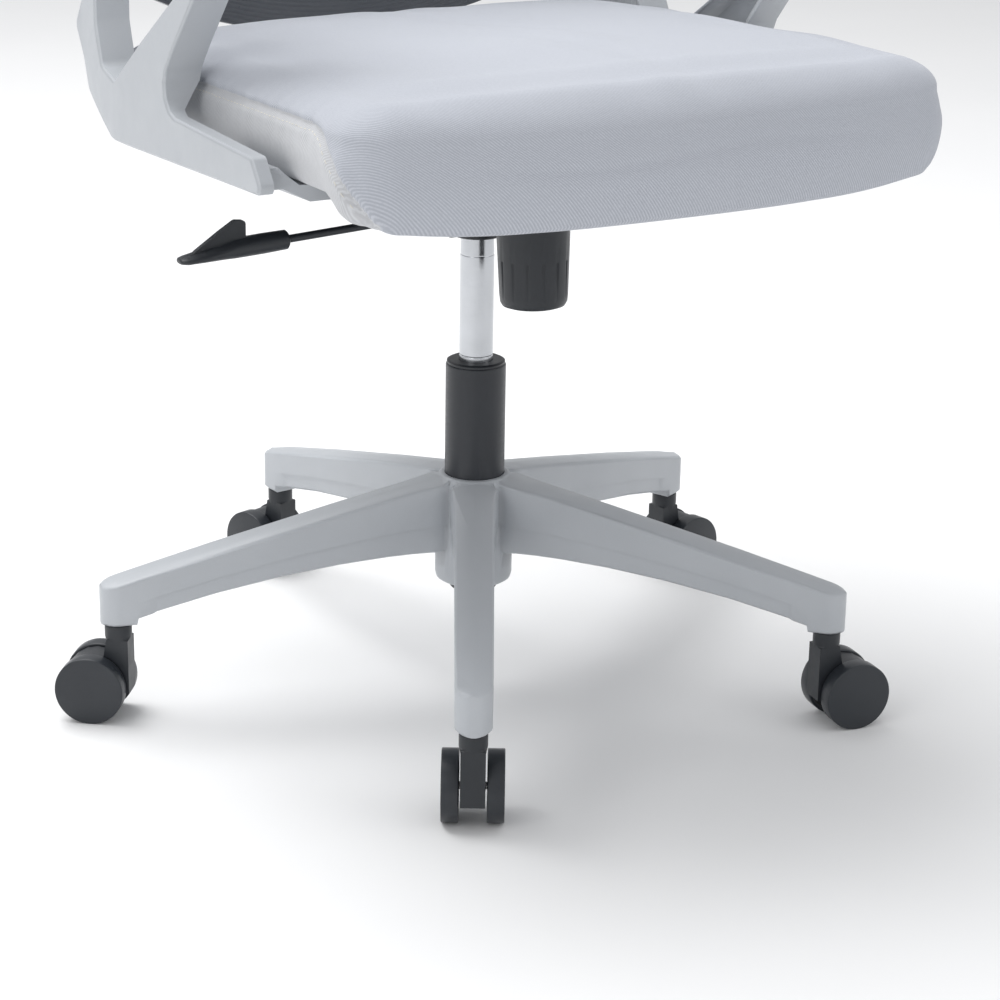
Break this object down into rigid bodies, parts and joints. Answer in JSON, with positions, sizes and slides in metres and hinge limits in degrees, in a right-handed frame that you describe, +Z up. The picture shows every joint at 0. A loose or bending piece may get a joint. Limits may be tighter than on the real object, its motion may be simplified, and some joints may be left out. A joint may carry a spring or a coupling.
{
  "type": "office chair",
  "caption": "Swivel task chair with a net back, fixed loop arms, upholstered seat, height lever and tilt tension knob on a castor star base.",
  "frame": {"origin": "on the floor under the middle of the chair's overall box", "axes": "+Z up from the floor; the sitter faces -Y and the sitter's left hand is at +X"},
  "size_m": [0.6785, 0.6713, 1.0105],
  "materials": {
    "grey_plastic": "satin moulded plastic with a very fine grain",
    "black_plastic": "fine-grained black moulded plastic",
    "black_steel": "black powder coat",
    "chrome": "polished hard chrome",
    "steel": "plain zinc-plated steel",
    "fabric": "light grey twill upholstery over foam",
    "net": "stretched open net",
    "pad_rubber": "soft-touch pad skin"
  },
  "bodies": {
    "base": {"star_base": "grey_plastic", "lift_outer_tube": "black_steel", "lift_guide_bush": "black_plastic"},
    "piston": {"piston_rod": "steel", "rod_clip": "steel", "thrust_bearing": "steel"},
    "column": {"pressure_tube": "chrome", "tilt_housing": "black_steel", "taper_socket": "black_steel", "tilt_pin": "steel", "tension_bolt": "steel", "spring_cup": "steel", "tension_spring": "steel"},
    "valve": {"valve_button": "steel"},
    "seat": {"seat_plate": "black_steel", "seat_pan": "black_plastic", "seat_cushion": "fabric", "arm_left": "grey_plastic", "arm_right": "grey_plastic", "arm_pad_left": "pad_rubber", "arm_pad_right": "pad_rubber", "back_frame": "grey_plastic", "back_mesh": "net", "lumbar_band": "black_plastic", "seat_bolt_1": "steel", "seat_bolt_2": "steel", "seat_bolt_3": "steel", "seat_bolt_4": "steel", "back_bolt_left": "steel", "back_bolt_right": "steel"},
    "knob": {"tension_knob": "black_plastic"},
    "rocker": {"valve_rocker": "black_steel"},
    "lever": {"lever_rod": "black_steel", "lever_handle": "black_plastic"},
    "castor_1": {"castor_1_hood": "black_plastic", "castor_1_stem": "steel", "castor_1_axle": "steel"},
    "castor_1_left": {"castor_1_wheel_left": "black_plastic"},
    "castor_1_right": {"castor_1_wheel_right": "black_plastic"},
    "castor_2": {"castor_2_hood": "black_plastic", "castor_2_stem": "steel", "castor_2_axle": "steel"},
    "castor_2_left": {"castor_2_wheel_left": "black_plastic"},
    "castor_2_right": {"castor_2_wheel_right": "black_plastic"},
    "castor_3": {"castor_3_hood": "black_plastic", "castor_3_stem": "steel", "castor_3_axle": "steel"},
    "castor_3_left": {"castor_3_wheel_left": "black_plastic"},
    "castor_3_right": {"castor_3_wheel_right": "black_plastic"},
    "castor_4": {"castor_4_hood": "black_plastic", "castor_4_stem": "steel", "castor_4_axle": "steel"},
    "castor_4_left": {"castor_4_wheel_left": "black_plastic"},
    "castor_4_right": {"castor_4_wheel_right": "black_plastic"},
    "castor_5": {"castor_5_hood": "black_plastic", "castor_5_stem": "steel", "castor_5_axle": "steel"},
    "castor_5_left": {"castor_5_wheel_left": "black_plastic"},
    "castor_5_right": {"castor_5_wheel_right": "black_plastic"}
  },
  "joints": [
    {"name": "seat_swivel", "type": "hinge", "parent": "base", "child": "piston", "pos_m": [0.0125, -0.0205, 0.2], "axis": [0, 0, 1], "continuous": true},
    {"name": "seat_height", "type": "slide", "parent": "piston", "child": "column", "axis": [0, 0, 1], "range_m": [-0.09, 0]},
    {"name": "seat_tilt", "type": "hinge", "parent": "column", "child": "seat", "pos_m": [0.0125, -0.0555, 0.455], "axis": [-1, 0, 0], "range_deg": [0, 12], "stiffness_Nm_per_rad": 90, "springref_deg": -20.05},
    {"name": "tension_turn", "type": "hinge", "parent": "column", "child": "knob", "pos_m": [0.0125, -0.11309, 0.38473], "axis": [0, 0.0523, 0.9986], "range_deg": [-1080, 1080]},
    {"name": "lever_lift", "type": "hinge", "parent": "column", "child": "rocker", "pos_m": [-0.029, -0.0285, 0.42], "axis": [0, 1, 0], "range_deg": [0, 6], "stiffness_Nm_per_rad": 0.6, "springref_deg": -22.92},
    {"name": "lever_pull", "type": "slide", "parent": "rocker", "child": "lever", "axis": [-0.9986, 0, -0.0523], "range_m": [0, 0.012]},
    {"name": "valve_press", "type": "slide", "parent": "column", "child": "valve", "axis": [0, 0, -1], "range_m": [0, 0.005]},
    {"name": "castor_1_swivel", "type": "hinge", "parent": "base", "child": "castor_1", "pos_m": [-0.13163, -0.2893, 0.09], "axis": [0, 0, 1], "continuous": true},
    {"name": "castor_1_left_roll", "type": "hinge", "parent": "castor_1", "child": "castor_1_left", "pos_m": [-0.12193, -0.27181, 0.0285], "axis": [-0.8746, 0.4848, 0], "continuous": true},
    {"name": "castor_1_right_roll", "type": "hinge", "parent": "castor_1", "child": "castor_1_right", "pos_m": [-0.12193, -0.27181, 0.0285], "axis": [-0.8746, 0.4848, 0], "continuous": true},
    {"name": "castor_2_swivel", "type": "hinge", "parent": "base", "child": "castor_2", "pos_m": [0.2236, -0.24064, 0.09], "axis": [0, 0, 1], "continuous": true},
    {"name": "castor_2_left_roll", "type": "hinge", "parent": "castor_2", "child": "castor_2_left", "pos_m": [0.24345, -0.24307, 0.0285], "axis": [0.1219, 0.9925, 0], "continuous": true},
    {"name": "castor_2_right_roll", "type": "hinge", "parent": "castor_2", "child": "castor_2_right", "pos_m": [0.24345, -0.24307, 0.0285], "axis": [0.1219, 0.9925, 0], "continuous": true},
    {"name": "castor_3_swivel", "type": "hinge", "parent": "base", "child": "castor_3", "pos_m": [0.2871, 0.11225, 0.09], "axis": [0, 0, 1], "continuous": true},
    {"name": "castor_3_left_roll", "type": "hinge", "parent": "castor_3", "child": "castor_3_left", "pos_m": [0.30658, 0.11674, 0.0285], "axis": [-0.225, 0.9744, 0], "continuous": true},
    {"name": "castor_3_right_roll", "type": "hinge", "parent": "castor_3", "child": "castor_3_right", "pos_m": [0.30658, 0.11674, 0.0285], "axis": [-0.225, 0.9744, 0], "continuous": true},
    {"name": "castor_4_swivel", "type": "hinge", "parent": "base", "child": "castor_4", "pos_m": [-0.02889, 0.28168, 0.09], "axis": [0, 0, 1], "continuous": true},
    {"name": "castor_4_left_roll", "type": "hinge", "parent": "castor_4", "child": "castor_4_left", "pos_m": [-0.0354, 0.30059, 0.0285], "axis": [-0.9455, -0.3256, 0], "continuous": true},
    {"name": "castor_4_right_roll", "type": "hinge", "parent": "castor_4", "child": "castor_4_right", "pos_m": [-0.0354, 0.30059, 0.0285], "axis": [-0.9455, -0.3256, 0], "continuous": true},
    {"name": "castor_5_swivel", "type": "hinge", "parent": "base", "child": "castor_5", "pos_m": [-0.28768, 0.03351, 0.09], "axis": [0, 0, 1], "continuous": true},
    {"name": "castor_5_left_roll", "type": "hinge", "parent": "castor_5", "child": "castor_5_left", "pos_m": [-0.30365, 0.04555, 0.0285], "axis": [-0.6018, -0.7986, 0], "continuous": true},
    {"name": "castor_5_right_roll", "type": "hinge", "parent": "castor_5", "child": "castor_5_right", "pos_m": [-0.30365, 0.04555, 0.0285], "axis": [-0.6018, -0.7986, 0], "continuous": true}
  ],
  "couplings": [
    {"joint": "valve_press", "follows": "lever_lift", "m_per_rad": 0.0455}
  ]
}
